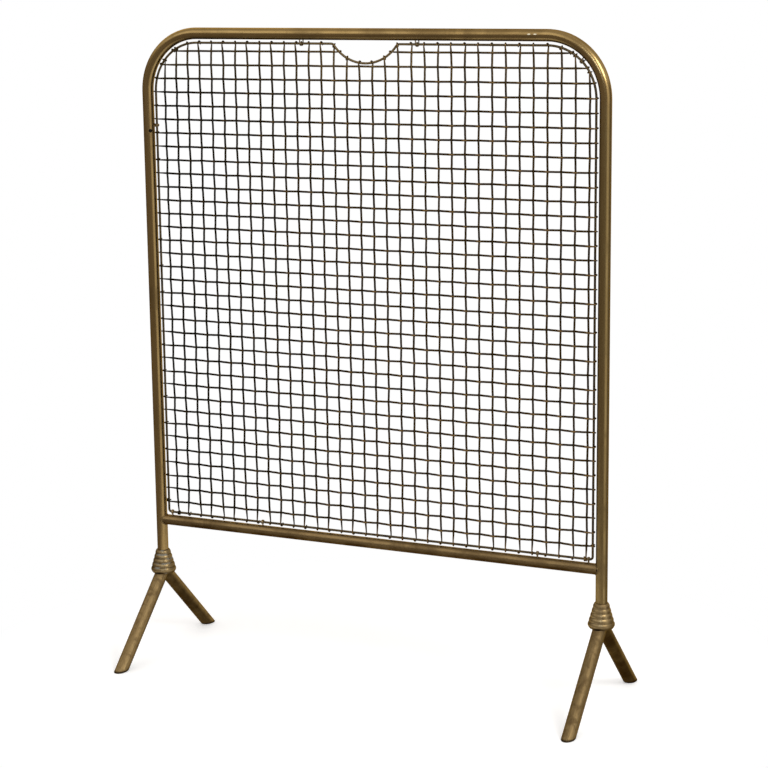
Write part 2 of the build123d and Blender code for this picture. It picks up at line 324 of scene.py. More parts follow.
foot_brass = old_metal(
    "dull_brass_collar", (0.270, 0.190, 0.088), (0.160, 0.108, 0.048), (0.380, 0.280, 0.138),
    cloud=45.0, streak=3.0, rough=0.34, bump=0.15, under=0.9, crevice=(0.25, 0.24, 0.20))
# The rail's lower half turns nearly black: painted shade and a painted dark reflection of the floor
rail_brass = old_metal(
    "brass_rail_shaded_below", (0.255, 0.172, 0.075), (0.130, 0.082, 0.034), (0.330, 0.238, 0.115),
    cloud=14.0, rough=0.38, under=0.96, start=0.50, full=-0.45, blackening=(0.030, 0.014, 0.003))
tie_metal = old_metal(
    "brass_tie_wire", (0.270, 0.195, 0.100), (0.075, 0.052, 0.027), (0.400, 0.305, 0.165),
    cloud=180.0, rough=0.42, bump=0.3, under=0.5)
# Near-black painted shade for the inside of the tie holes
hole_shade = old_metal(
    "hole_shade", (0.016, 0.013, 0.009), (0.008, 0.006, 0.004), (0.030, 0.024, 0.015),
    cloud=180.0, rough=0.60, bump=0.3, under=0.3)
braze_metal = old_metal(
    "brazing", (0.190, 0.130, 0.055), (0.060, 0.040, 0.018), (0.320, 0.230, 0.110),
    cloud=140.0, rough=0.42, bump=0.8)
stud_steel = old_metal(
    "bare_steel_stud", (0.330, 0.320, 0.300), (0.140, 0.125, 0.110), (0.480, 0.470, 0.450),
    cloud=120.0, rough=0.36, bump=0.3)
metals = (foot_brass, rail_brass, tie_metal, hole_shade, braze_metal, stud_steel)
print("metals:", [metal.name for metal in metals])

# %% [markdown]
# The legs are the dullest brass, and the right pair is darker than the left. They are mottled all
# over, painted nearly black underneath as painted shade, and a painted contact shadow makes a dark
# line round each sole.

# %% Material of the legs
left_side, right_side = -0.2, 0.2
right_share = 0.82
sole_line_top, sole_line_full, sole_shade = 3.6 * MM, 1.2 * MM, 0.9


def right_tone_and_sole_shade(tree, place, colour, roughness):
    """Darker towards the right, with a painted contact shadow as a dark line round the sole."""
    axes = axes_of(tree, place)
    colour = scaled(tree, colour, remap(tree, axes["X"], left_side, right_side, 1.0, right_share))
    # Painted contact shadow: a dark line round the sole where the leg meets the floor
    sole = remap(tree, axes["Z"], sole_line_top, sole_line_full, 0.0, sole_shade)
    return blend_colour(tree, sole, colour, (0.012, 0.008, 0.004, 1)), roughness


leg_brass = old_metal(
    "mottled_brass_leg", (0.250, 0.170, 0.074), (0.150, 0.096, 0.042), (0.360, 0.262, 0.122),
    cloud=70.0, streak=3.0, speck=460.0, rough=0.48, bump=0.8, under=0.92, start=0.25, full=-0.35,
    blackening=(0.018, 0.009, 0.002), wear_and_painted_light=right_tone_and_sole_shade)
print("leg material has", len(leg_brass.node_tree.nodes), "nodes")

# %% [markdown]
# The frame's own brass gets one thing more. Near the right top corner the tube was knocked twice, and
# bare bright metal shows there. Each nick is a small stretched spot round a point on the tube's face.
# The right upright is also duller and darker than the left one, so its streaks of light are wider, softer
# and dimmer.

# %% Material of the frame tube
nick_places = (236 * MM, 244.5 * MM)
nick_rise = 1.3 * MM
nick_size = Vector((3.0, 3.0, 1.1)) * MM
dull_x_start, dull_x_full = 0.25, 0.34
dull_z_start, dull_z_full = bend_z + 20 * MM, bend_z - 40 * MM
dull_share, dull_rough = 0.32, 0.10


def nicks(tree, place, colour, roughness):
    """Two bare nicks near the right corner, and a duller, darker right upright."""
    stretch = Vector([1 / s for s in nick_size])
    for nick_x in nick_places:
        spot = Vector((nick_x, -tube_r, top_z + nick_rise))
        shift = Vector([-a * b for a, b in zip(spot, stretch)])
        near = result(tree, "ShaderNodeMapping", {"Vector": place, "Location": shift, "Scale": stretch})
        distance = vector_node(tree, "LENGTH", near)
        colour = blend_colour(tree, remap(tree, distance, 1.0, 0.4), colour, (0.85, 0.78, 0.58, 1))
    axes = axes_of(tree, place)
    below_bend = remap(tree, axes["Z"], dull_z_start, dull_z_full)
    dull = times(tree, remap(tree, axes["X"], dull_x_start, dull_x_full), below_bend)
    colour = blend_colour(tree, times(tree, dull, dull_share), colour, (0.100, 0.078, 0.030, 1))
    return colour, math_node(tree, "ADD", roughness, times(tree, dull, dull_rough))


# The tube turns darker underneath and on the sides that face the wires: painted shade and painted dark
# reflection
frame_brass = old_metal(
    "aged_brass_tube", (0.325, 0.217, 0.083), (0.160, 0.102, 0.040), (0.430, 0.312, 0.140),
    cloud=14.0, rough=0.22, bump=0.0, inner=0.22, under=0.9, start=-0.20, full=-0.95, wear_and_painted_light=nicks)
print("tube material has", len(frame_brass.node_tree.nodes), "nodes")

# %% [markdown]
# The wires are the darkest metal. Soot has turned them brown, and they are darker still towards the
# left side. The knuckles, where one wire bends over another, are lighter brass, partly rubbed bare and
# partly a painted highlight that grows towards the right. The knuckles stand furthest from the
# panel's middle, so a point's distance from that plane marks them. Hands have also rubbed the top
# edge, most of all in the dip, where the border shows its brass as well.

# %% Materials of the panel
rubbed_low, rubbed_high = border_top - 62 * MM, border_top - 26 * MM
dip_near, dip_far, far_share = 55 * MM, 110 * MM, 0.45
rod_rubbed, wire_rubbed = 0.75, 0.5
knuckle_low, knuckle_high = 2.2 * MM, 3.0 * MM
weave_left_x, weave_right_x = -0.36, 0.10
left_darkening, right_darkening = 0.97, 0.15
least_rub_and_sheen, most_rub_and_sheen = 0.04, 0.62


def hand_mask(tree, axes):
    """Mask of what hands have rubbed along the top edge and in the dip."""
    high = remap(tree, axes["Z"], rubbed_low, rubbed_high)
    near_dip = remap(tree, math_node(tree, "ABSOLUTE", axes["X"]), dip_near, dip_far, 1.0, far_share)
    return times(tree, high, near_dip)


def rubbed_rod(tree, place, colour, roughness):
    """Brass that shows where hands touch the border."""
    rubbed = times(tree, hand_mask(tree, axes_of(tree, place)), rod_rubbed)
    return blend_colour(tree, rubbed, colour, (0.250, 0.180, 0.085, 1)), roughness


def weave_darkening_and_sheen(tree, place, colour, roughness):
    """Darker towards the left, knuckles rubbed bare with a painted highlight, and brass where hands touch
    the top.
    """
    axes = axes_of(tree, place)
    # Darker towards the left
    blackening = remap(tree, axes["X"], weave_left_x, weave_right_x, left_darkening, right_darkening)
    colour = blend_colour(tree, blackening, colour, (0.010, 0.011, 0.008, 1))
    # Painted highlight, partly real rubbed brass: the knuckles turn lighter, more so towards the right
    knuckle = remap(tree, math_node(tree, "ABSOLUTE", axes["Y"]), knuckle_low, knuckle_high)
    rub_and_sheen = times(tree, knuckle, remap(tree, axes["X"], weave_left_x, weave_right_x, least_rub_and_sheen, most_rub_and_sheen))
    colour = blend_colour(tree, rub_and_sheen, colour, (0.280, 0.170, 0.066, 1))
    rubbed = times(tree, hand_mask(tree, axes), wire_rubbed)
    return blend_colour(tree, rubbed, colour, (0.200, 0.138, 0.060, 1)), roughness


border_brass = old_metal(
    "grey_brass_rod", (0.105, 0.076, 0.038), (0.026, 0.020, 0.013), (0.190, 0.140, 0.070),
    cloud=60.0, rough=0.40, bump=0.3, under=0.5, blackening=(0.020, 0.014, 0.008), wear_and_painted_light=rubbed_rod)
mesh_metal = old_metal(
    "sooty_mesh_wire", (0.062, 0.038, 0.014), (0.015, 0.010, 0.005), (0.125, 0.078, 0.028),
    cloud=30.0, streak=3.0, speck=700.0, rough=0.42, bump=0.2, under=0.5, blackening=(0.012, 0.008, 0.004),
    wear_and_painted_light=weave_darkening_and_sheen)
print("panel materials:", border_brass.name, "and", mesh_metal.name)

# %% [markdown]
# ## One recipe for every bar
# The tube, the rail, the border, the ties and the wires are all round bars along a path. A Geometry
# Nodes tree turns a chain of edges into a curve, lets it wander a little as hand-bent metal does, and
# runs a circle along it. The wander is read from the point's place in the panel, so wires that cross
# wander together and stay in touch, and it is smaller at the panel's edge, near the tube.

# %% Nodes that the recipes share
def store(tree, geometry, name, value, kind="FLOAT"):
    """Geometry with a value kept at each point under a name."""
    sockets = {"Geometry": geometry, "Name": name, "Value": value}
    return result(tree, "GeometryNodeStoreNamedAttribute", sockets, data_type=kind, domain="POINT")


def fetch(tree, name, kind="FLOAT"):
    """The value that is kept under a name."""
    return result(tree, "GeometryNodeInputNamedAttribute", {"Name": name}, data_type=kind)


def finished(tree, geometry, material):
    """The last nodes of every recipe: smooth faces, real geometry, a material."""
    smooth = result(tree, "GeometryNodeSetShadeSmooth", {"Geometry": geometry})
    real = result(tree, "GeometryNodeRealizeInstances", {"Geometry": smooth})
    return result(tree, "GeometryNodeSetMaterial", {"Geometry": real, "Material": material})


print("shared nodes ready")

# %% Geometry Nodes tree for bars
free_room, edge_wander = 50 * MM, 0.3


def bar_recipe():
    tree, given, out = new_tree("bar_along_path", "GeometryNodeTree", {
        "Geometry": "Geometry", "Radius": "Float", "Sides": "Int", "Wander": "Float",
        "Wander Scale": "Float", "Seed": "Float", "Material": "Material",
    }, {"Geometry": "Geometry"})
    curve = result(tree, "GeometryNodeMeshToCurve", {"Mesh": given["Geometry"]})
    axes = axes_of(tree, result(tree, "GeometryNodeInputPosition"))
    flat = result(tree, "ShaderNodeCombineXYZ", {"X": axes["X"], "Z": axes["Z"]})
    noise = add(tree, "ShaderNodeTexNoise", {
        "Vector": flat, "W": given["Seed"], "Scale": given["Wander Scale"], "Detail": 2.0,
    }, noise_dimensions="4D").outputs["Color"]
    centred = vector_node(tree, "SUBTRACT", noise, (0.5, 0.5, 0.5))
    side_room = math_node(tree, "SUBTRACT", border_x, math_node(tree, "ABSOLUTE", axes["X"]))
    low_room = math_node(tree, "SUBTRACT", axes["Z"], border_foot)
    high_room = math_node(tree, "SUBTRACT", border_top - 2 * shoulder_r, axes["Z"])
    room = math_node(tree, "MINIMUM", side_room, math_node(tree, "MINIMUM", low_room, high_room))
    amount = times(tree, remap(tree, room, 0.0, free_room, edge_wander, 1.0), given["Wander"])
    wandered = scaled(tree, centred, amount)
    bent = result(tree, "GeometryNodeSetPosition", {"Geometry": curve, "Offset": wandered})
    length = add(tree, "GeometryNodeSplineParameter").outputs
    path = store(tree, bent, "along", length["Length"])
    circle = result(tree, "GeometryNodeCurvePrimitiveCircle", {
        "Resolution": given["Sides"], "Radius": given["Radius"]})
    ring = store(tree, circle, "around", times(tree, length["Factor"], 2 * math.pi))
    thickness = math_node(tree, "SUBTRACT", 1.0, fetch(tree, "thin"))
    swept = result(tree, "GeometryNodeCurveToMesh", {
        "Curve": path, "Profile Curve": ring, "Scale": thickness, "Fill Caps": True})
    angle = fetch(tree, "around")
    bar = result(tree, "ShaderNodeCombineXYZ", {
        "X": math_node(tree, "COSINE", angle), "Y": math_node(tree, "SINE", angle),
        "Z": fetch(tree, "along")})
    marked = store(tree, swept, "bar", bar, "FLOAT_VECTOR")
    tree.links.new(finished(tree, marked, given["Material"]), out["Geometry"])
    return tree


bar_tree = bar_recipe()
print("bar recipe has", len(bar_tree.nodes), "nodes")

# %% [markdown]
# A path is a list of points, and a fourth number may say how much thinner the bar is there. These
# helpers turn paths into a mesh of edges, let the recipe grow it into bars, and keep the result as a
# plain mesh that stands in for CAD nodes.

# %% From paths to pieces
def in_scene(name, data):
    """A new object in the scene."""
    made = bpy.data.objects.new(name, data)
    bpy.context.collection.objects.link(made)
    return made


def mark_points(mesh, name, kind, values):
    """Keep numbers, or the three numbers of each vector, at a mesh's points under a name."""
    entry = "vector" if kind == "FLOAT_VECTOR" else "value"
    mesh.attributes.new(name, kind, "POINT").data.foreach_set(entry, values)


def edge_chain(name, paths, closed):
    """Mesh of edges along each path of points."""
    points, edges, thin = [], [], []
    for path in paths:
        first = len(points)
        points += [tuple(p)[:3] for p in path]
        thin += [p[3] if len(p) == 4 else 0.0 for p in path]
        edges += [(first + k, first + k + 1) for k in range(len(path) - 1)]
        if closed:
            edges.append((len(points) - 1, first))
    mesh = bpy.data.meshes.new(name)
    mesh.from_pydata(points, edges, [])
    mark_points(mesh, "thin", "FLOAT", thin)
    return mesh


def grow(name, seed_mesh, tree, values):
    """Object whose mesh a Geometry Nodes tree makes once, as a plain mesh."""
    piece = in_scene(name, seed_mesh)
    modifier = piece.modifiers.new("recipe", "NODES")
    modifier.node_group = tree
    sockets = {item.name: item.identifier for item in tree.interface.items_tree
               if item.item_type == "SOCKET" and item.in_out == "INPUT"}
    for label, value in values.items():
        modifier[sockets[label]] = value
    piece.update_tag()
    grown = piece.evaluated_get(bpy.context.evaluated_depsgraph_get())
    mesh = bpy.data.meshes.new_from_object(grown)
    piece.modifiers.remove(modifier)
    piece.data = mesh
    mesh.name = name
    return piece


def bars(name, paths, radius, material, sides, closed=False, wander=None):
    """Object with a round bar along each path."""
    values = {"Radius": radius, "Sides": sides, "Material": material, **(wander or {})}
    return grow(name, edge_chain(name + "_path", paths, closed), bar_tree, values)


def settle(piece, slot, *nodes):
    """The piece rides on the screen and stands for CAD nodes. The slot is not used."""
    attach(piece, "root")
    if nodes:
        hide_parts(*nodes)
    print(piece.name, len(piece.data.polygons), "faces for", len(nodes), "nodes")
    return piece


print("piece helpers ready")

# %% Shapes of paths
def full_turn(count):
    """Angles of evenly spaced points round a circle."""
    return [2 * math.pi * k / count for k in range(count)]


def arc(centre_x, centre_z, radius, start, end, steps):
    """Points of an arc in the screen's plane, in degrees from +X towards +Z."""
    turns = [math.radians(start + (end - start) * k / steps) for k in range(steps + 1)]
    return [(centre_x + radius * math.cos(t), 0.0, centre_z + radius * math.sin(t)) for t in turns]


def mirrored(path):
    """The path on the other side of the screen, in running order."""
    return [(-x, y, z) for x, y, z in reversed(path)]


def spaced(path, step):
    """The path with more points on its long straight runs."""
    dense = []
    for a, b in zip(path, path[1:]):
        parts = max(1, round((Vector(b) - Vector(a)).length / step))
        dense += [Vector(a).lerp(Vector(b), k / parts) for k in range(parts)]
    return dense + [Vector(path[-1])]


print("path helpers ready")

# %% [markdown]
# ## The hoop and the bottom rail
# The frame is one length of tube, bent at the two top corners, and a shorter tube between the
# uprights. The hoop's path is half of it and its mirror image. The rail's ends stop just inside the
# uprights' surface, where a thin bead of brazing closes the joint.

# %% Hoop
tube_step, tube_sides, bend_steps = 20 * MM, 40, 24
half_hoop = [(-upright_x, 0.0, hoop_low.z)] + arc(-bend_x, bend_z, bend_r, 180, 90, bend_steps)
hoop_path = spaced(half_hoop + mirrored(half_hoop), tube_step)
settle(bars("frame_tube", [hoop_path], tube_r, frame_brass, tube_sides), "frame_brass", "frame_hoop")

# %% Rail
end_share = 0.6
rail_end = upright_x - end_share * tube_r
rail_path = spaced([(-rail_end, 0.0, rail_z), (rail_end, 0.0, rail_z)], tube_step)
settle(bars("bottom_rail_tube", [rail_path], rail_r, rail_brass, tube_sides), "frame_brass", "bottom_rail")

# %% Brazing at the rail's ends
braze_r, braze_steps = 0.9 * MM, 48


def saddle(side):
    """Closed line where the rail meets an upright."""
    line = []
    for turn in full_turn(braze_steps):
        y = rail_r * math.cos(turn)
        x = side * (upright_x - math.sqrt(tube_r ** 2 - y ** 2))
        line.append((x, y, rail_z + rail_r * math.sin(turn)))
    return line


braze = bars("rail_brazing", [saddle(-1), saddle(1)], braze_r, braze_metal, sides=10, closed=True)
settle(braze, "frame_brass")

# %% [markdown]
# ## The border of the panel
# A thin rod runs round inside the frame. It follows the frame's corners at a small distance and dips
# in the middle of the top, with two small bends at the dip's shoulders. It wanders with the wires.

# %% Border rod
border_step = 4 * MM
foot_bend_x, foot_bend_z = -border_x + border_foot_r, border_foot + border_foot_r
half_border = [(0.0, 0.0, border_foot), (foot_bend_x, 0.0, border_foot)]
half_border += arc(foot_bend_x, foot_bend_z, border_foot_r, 270, 180, steps=8)[1:]
half_border += arc(-bend_x, bend_z, border_bend_r, 180, 90, bend_steps)
half_border += arc(-shoulder_x, shoulder_z, shoulder_r, 90, 90 - dip_half, steps=6)
half_border += arc(0.0, dip_z, dip_r, 270 - dip_half, 270, steps=14)[1:]
border_path = spaced(half_border + mirrored(half_border)[1:], border_step)[:-1]
wander = {"Wander": 1.2 * MM, "Wander Scale": 14.0, "Seed": 3.0}
border = bars("panel_border", [border_path], border_r, border_brass, sides=14, closed=True, wander=wander)
settle(border, "border_wire", "mesh_border")

# %% [markdown]
# ## The woven wires
# Each wire passes in front of one neighbour and behind the next. The upright wires are the stiffer
# ones and bend less. Weaving by hand leaves drift: the upright wires stand a little to the right of
# an even spacing, most at the panel's sides, and the cross wires rise a little below the middle.

# %% Where the wires really stand
column_crimp, row_crimp = 0.86 * MM, 1.98 * MM
drift_all, drift_sides = 0.7 * MM, 2.6 * MM
rise_low, rise_top, rise_right = 2.4 * MM, -0.4 * MM, 0.9 * MM
drift_power, rise_power = 1.4, 1.8

column_x = [x + drift_all + drift_sides * abs(x / border_x) ** drift_power for x in even_x]


def row_height(x, z):
    """Height at x of the cross wire whose even place is z."""
    down = (even_z[0] - z) / (even_z[0] - even_z[-1])
    return z + rise_low * math.sin(math.pi * down ** rise_power) + rise_top + rise_right * x / border_x


print("upright wires from", round(column_x[0], 4), "to", round(column_x[-1], 4))

# %% [markdown]
# At both ends a wire leaves the weave on the side of its last crossing, lies against the border and
# is wound round it. So each end needs a point of the border and the direction that points out of the
# panel there. The border is straight, part of a corner bend, a shoulder or the dip.

# %% Where the border stands
def column_top(x):
    """Point of the border over an upright wire, and the way out of the panel there."""
    away, sign = abs(x), math.copysign(1, x)
    if away < dip_end_x:
        slope, middle_z, radius = -away / dip_r, dip_z, -dip_r
    elif away < shoulder_x:
        slope, middle_z, radius = (away - shoulder_x) / shoulder_r, shoulder_z, shoulder_r
    else:
        slope, middle_z, radius = max(0.0, away - bend_x) / border_bend_r, bend_z, border_bend_r
    rise = math.sqrt(1 - slope ** 2)
    return Vector((x, 0, middle_z + radius * rise)), Vector((sign * slope, 0, rise))


def row_side(z, sign):
    """Point of the border at the outer end of a cross wire, and the way out there."""
    slope = max(0.0, z - bend_z) / border_bend_r
    run = math.sqrt(1 - slope ** 2)
    return Vector((sign * (bend_x + border_bend_r * run), 0, z)), Vector((sign * run, 0, slope))


def row_dip(z, sign):
    """Point of the dip at the inner end of a cross wire, and the way out there."""
    slope = (dip_z - z) / dip_r
    run = math.sqrt(1 - slope ** 2)
    return Vector((sign * dip_r * run, 0, z)), Vector((-sign * run, 0, slope))


end_thin = 0.38
curl_clearance = 0.1 * MM
curl_r = border_r + (1 - end_thin) * wire_r + curl_clearance
print("a wire winds round the border at", round(curl_r * 1000, 2), "mm from its middle")

# %% [markdown]
# A wound end is hammered thin and goes half a turn round the border, and further in the corners,
# where it had to be twisted tight. Crimped wire is nearly straight between two crossings and bends
# sharply at each of them, which the third power of a cosine shows well.

# %% Path of one woven wire
wind_pitch = 2.2 * MM
lead_steps, turn_steps, crimp_steps = 4, 14, 8
corner_lean = 0.3
# Turns round the border: at the sides, in the bends, in the dip and at the bottom corners
side_turns, side_uneven = 0.48, 0.04
bend_turns, dip_turns = 0.95, 0.6
corner_column_turns, bottom_row_turns = 1.7, 1.5


def along_border(outward):
    """The way along the border where the panel's outside is outward."""
    return Vector((outward.z, 0, -outward.x))


def wound_end(last, border_point, outward, turns):
    """From a wire's last crossing to the border and round it, winding towards the panel's middle."""
    side = math.copysign(1, last.y)
    along = along_border(outward)
    if along.dot(border_point - Vector((0, 0, bend_z))) > 0:
        along = -along
    touch = border_point + Vector((0, side * curl_r, 0))
    line = []
    for k in range(1, lead_steps + 1):
        t = k / lead_steps
        point = last.lerp(touch, t)
        point.y = last.y + (touch.y - last.y) * t * t * (3 - 2 * t)
        line.append((*point, end_thin * t))
    steps = round(turns * turn_steps)
    for k in range(1, steps + 1):
        turn = 2 * math.pi * turns * k / steps
        round_border = outward * curl_r * math.sin(turn) + Vector((0, side * curl_r * math.cos(turn), 0))
        line.append((*(border_point + along * wind_pitch * turns * k / steps + round_border), end_thin))
    return line


def woven_wire(crossings, first_end, last_end):
    """Path of a wire through its crossings, with both ends wound round the border."""
    path = wound_end(crossings[0], *first_end)[::-1]
    for a, b in zip(crossings, crossings[1:]):
        for k in range(crimp_steps):
            point = a.lerp(b, k / crimp_steps)
            point.y = a.y * math.cos(math.pi * k / crimp_steps) ** 3
            path.append(point)
    path.append(crossings[-1])
    return path + wound_end(crossings[-1], *last_end)


def end_turns(outward, number):
    """How far an end goes round the border: uneven along the sides, further in the corners."""
    if min(abs(outward.x), abs(outward.z)) > corner_lean:
        return bend_turns
    return side_turns + side_uneven * (number * 3 % 5)


def clear_of(point, end):
    """Whether a crossing at a point leaves room for a wire's end at the border."""
    border_point, outward = end
    return (border_point - point).dot(outward) > curl_r + wire_r


print("wire paths ready")

# %% Crossings
crossing = {}
for i, x in enumerate(column_x):
    for j, z in enumerate(even_z):
        point = Vector((x, 0, row_height(x, z)))
        sign = math.copysign(1, x)
        free = clear_of(point, column_top(x)) and clear_of(point, row_side(point.z, sign))
        if point.z > dip_z - dip_r:
            free = free and (abs(x) > shoulder_x or clear_of(point, row_dip(point.z, sign)))
        if free:
            crossing[i, j] = point
print(len(crossing), "crossings")

# %% Upright wires
down = Vector((0, 0, -1))
column_groups = {"upright_wires": [], "corner_upright_wires": [], "hand_hold_upright_wires": []}
for i, x in enumerate(column_x):
    crossed = [j for j in range(row_count) if (i, j) in crossing]
    met = [crossing[i, j] + Vector((0, column_crimp * (-1) ** (i + j), 0)) for j in crossed]
    top_point, out = column_top(x)
    foot_turns = corner_column_turns if i in (0, column_count - 1) else end_turns(down, i + 2)
    foot_end = (Vector((x, 0, border_foot)), down, foot_turns)
    path = woven_wire(met[::-1], foot_end, (top_point, out, end_turns(out, i)))
    kind = "corner_" if abs(even_x[i]) > bend_x else "hand_hold_" if abs(even_x[i]) < shoulder_x else ""
    column_groups[kind + "upright_wires"].append(path)


def weave(groups):
    """One piece of woven wires for each CAD node."""
    for node, paths in groups.items():
        wires = bars("woven_" + node, paths, wire_r, mesh_metal, sides=10, wander=wander)
        settle(wires, "mesh_wire", node)


weave(column_groups)

# %% Cross wires
row_groups = {"cross_wires": [], "corner_cross_wires": [],
              "top_left_cross_wires": [], "top_right_cross_wires": []}
for j, z in enumerate(even_z):
    crossed = [i for i in range(column_count) if (i, j) in crossing]
    met = [crossing[i, j] - Vector((0, row_crimp * (-1) ** (i + j), 0)) for i in crossed]
    ends = []
    for sign in (-1, 1):
        side_point, out = row_side(row_height(sign * border_x, z), sign)
        ends.append((side_point, out, bottom_row_turns if j == row_count - 1 else end_turns(out, j)))
    if z > dip_z - dip_r:
        for side_name, sign, outer in (("left", -1, ends[0]), ("right", 1, ends[1])):
            inner = (*row_dip(row_height(sign * dip_end_x, z), sign), dip_turns)
            half = [point for point in met if point.x * sign > 0]
            pair = (outer, inner) if sign < 0 else (inner, outer)
            row_groups[f"top_{side_name}_cross_wires"].append(woven_wire(half, *pair))
    else:
        kind = "corner_cross_wires" if z > bend_z else "cross_wires"
        row_groups[kind].append(woven_wire(met, *ends))
weave(row_groups)

# %% [markdown]
# ## The ties
# Short pieces of thin wire hold the panel in the frame. Each comes out of a hole in the tube, goes
# one and a half times round the border and back into a second hole. Their middles are read from the
# CAD boxes, so that every tie sits where its CAD node is.

# %% Tie wires
tie_r, tie_clearance = 0.8 * MM, 0.15 * MM
tie_reach = border_r + tie_r + tie_clearance
tie_spread, tie_leg = 1.3 * MM, 8.5 * MM
tie_turns, tie_steps = 1.5, 30
up, left = Vector((0, 0, 1)), Vector((-1, 0, 0))
corner = Vector((1, 0, 1)).normalized()
tie_heading = {
    "tie_top_left": up, "tie_top_right": up, "tie_side_left": left, "tie_corner_right": corner,
    "tie_foot_left": down, "tie_foot_right": down, "tie_bottom_left": down, "tie_bottom_right": down,
}


def tie_seat(name):
    """Point of the border that a tie goes round, and how far the tube's axis is from it."""
    low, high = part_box(name)
    middle = (low + high) / 2
    if tie_heading[name] == up:
        return Vector((middle.x, 0, border_top)), top_z - border_top
    if tie_heading[name] == down:
        return Vector((middle.x, 0, border_foot)), border_foot - rail_z
    if tie_heading[name] == left:
        return Vector((-border_x, 0, middle.z)), upright_x - border_x
    return Vector((bend_x, 0, bend_z)) + tie_heading[name] * border_bend_r, bend_r - border_bend_r


def tie_path(seat, toward):
    """Out of one hole, one and a half times round the border, and into the other hole."""
    along = along_border(toward) * tie_spread
    front = Vector((0, -tie_reach, 0))
    path = [seat + toward * tie_leg + front - along]
    for k in range(tie_steps + 1):
        turn = 2 * math.pi * tie_turns * k / tie_steps
        round_border = front * math.cos(turn) - toward * tie_reach * math.sin(turn)
        path.append(seat + along * (2 * k / tie_steps - 1) + round_border)
    return path + [seat + toward * tie_leg - front + along]


for tie_name, toward in tie_heading.items():
    path = tie_path(tie_seat(tie_name)[0], toward)
    settle(bars(tie_name + "_wire", [path], tie_r, tie_metal, sides=12), "tie_wire", tie_name)

# %% [markdown]
# Every tie hole has a near-black rim and a dark floor, painted shade where the hole goes into the
# tube, and the left upright has one more, wider hole from an old fixing. A rim is a small ring with a
# dark floor. Geometry Nodes sets one on each mouth, turned to the tube's surface, with its own size.

# %% Geometry Nodes tree for hole rims
def rim_recipe():
    tree, given, out = new_tree("hole_rims", "GeometryNodeTree", {
        "Geometry": "Geometry", "Hole Radius": "Float", "Rim Radius": "Float", "Material": "Material",
    }, {"Geometry": "Geometry"})
    hole, thick = given["Hole Radius"], given["Rim Radius"]
    circle = result(tree, "GeometryNodeCurvePrimitiveCircle", {"Resolution": 20, "Radius": hole})
    edge = result(tree, "GeometryNodeCurvePrimitiveCircle", {"Resolution": 8, "Radius": thick})
    ring = result(tree, "GeometryNodeCurveToMesh", {0: circle, 1: edge})
    floor = result(tree, "GeometryNodeMeshCylinder", {"Vertices": 20, "Radius": hole, "Depth": thick})
    rim = add(tree, "GeometryNodeJoinGeometry", {0: ring})
    tree.links.new(floor, rim.inputs[0])
    mouth = fetch(tree, "mouth", "FLOAT_VECTOR")
    turned = result(tree, "FunctionNodeAlignRotationToVector", {"Vector": mouth}, axis="Z")
    placed = result(tree, "GeometryNodeInstanceOnPoints", {
        "Points": given["Geometry"], "Instance": rim.outputs[0], "Rotation": turned,
        "Scale": fetch(tree, "size")})
    tree.links.new(finished(tree, placed, given["Material"]), out["Geometry"])
    return tree


rim_tree = rim_recipe()
print("rim recipe has", len(rim_tree.nodes), "nodes")

# %% Hole rims
def tie_mouths(name):
    """Where a tie's two legs enter the tube, and the way that the surface faces there."""
    seat, away = tie_seat(name)
    toward = tie_heading[name]
    along = along_border(toward) * tie_spread
    around = rail_r if toward == down else tube_r
    mouths = []
    for side in (-1, 1):
        facing = Vector((0, side * tie_reach, 0)) - toward * math.sqrt(around ** 2 - tie_reach ** 2)
        mouths.append((seat + toward * away + along * side + facing, facing.normalized(), 1.0))
    return mouths


old_hole_z, old_hole_size = 757 * MM, 1.9
old_hole_turn = math.radians(43)
old_hole_facing = Vector((math.sin(old_hole_turn), -math.cos(old_hole_turn), 0))
old_hole = Vector((-upright_x, 0, old_hole_z)) + old_hole_facing * tube_r
mouths = [(old_hole, old_hole_facing, old_hole_size)]
for tie_name in tie_heading:
    mouths += tie_mouths(tie_name)
seeds = bpy.data.meshes.new("mouths")
seeds.from_pydata([tuple(place) for place, facing, size in mouths], [], [])
mark_points(seeds, "mouth", "FLOAT_VECTOR", [number for place, facing, size in mouths for number in facing])
mark_points(seeds, "size", "FLOAT", [size for place, facing, size in mouths])
rims = grow("tie_hole_rims", seeds, rim_tree,
            {"Hole Radius": 1.05 * MM, "Rim Radius": 0.3 * MM, "Material": hole_shade})
settle(rims, "tie_wire")

# %% [markdown]
# ## The feet
# Under each upright a turned collar of five rounded rings carries two splayed legs. Both are made as
# rings of points joined by faces. A collar is turned from its outline, and a leg slides each point of
# its ring along the leg until it meets the floor, the collar or the other leg.

# %% Skin over rings
sharp_angle = math.radians(50)
ring_step = 4 * MM


def skin(name, rings, material, crevice):
    """Closed mesh over rings of points, first and last ring filled, with a crevice mark for each ring."""
    count = len(rings[0])
    points = [tuple(p) for ring in rings for p in ring]
    faces = []
    for r in range(len(rings) - 1):
        for k in range(count):
            n = (k + 1) % count
            faces.append((r * count + k, r * count + n, (r + 1) * count + n, (r + 1) * count + k))
    faces.append(tuple(reversed(range(count))))
    faces.append(tuple(range((len(rings) - 1) * count, len(rings) * count)))
    mesh = bpy.data.meshes.new(name)
    mesh.from_pydata(points, [], faces)
    for polygon in mesh.polygons:
        polygon.use_smooth = True
    mesh.set_sharp_from_angle(angle=sharp_angle)
    bar, marks = [], []
    for r in range(len(rings)):
        for turn in full_turn(count):
            bar += (math.cos(turn), math.sin(turn), r * ring_step)
            marks.append(crevice[r])
    mark_points(mesh, "bar", "FLOAT_VECTOR", bar)
    mark_points(mesh, "crevice", "FLOAT", marks)
    mesh.materials.append(material)
    return in_scene(name, mesh)


def level_ring(centre, radius, z, count=56):
    """Level ring of points."""
    return [Vector((centre + radius * math.cos(t), radius * math.sin(t), z)) for t in full_turn(count)]


print("skins ready")

# %% Collars
collar_play = 0.05 * MM
lip_in, lip_up = 0.2 * MM, 0.3 * MM
ring_steps = 8


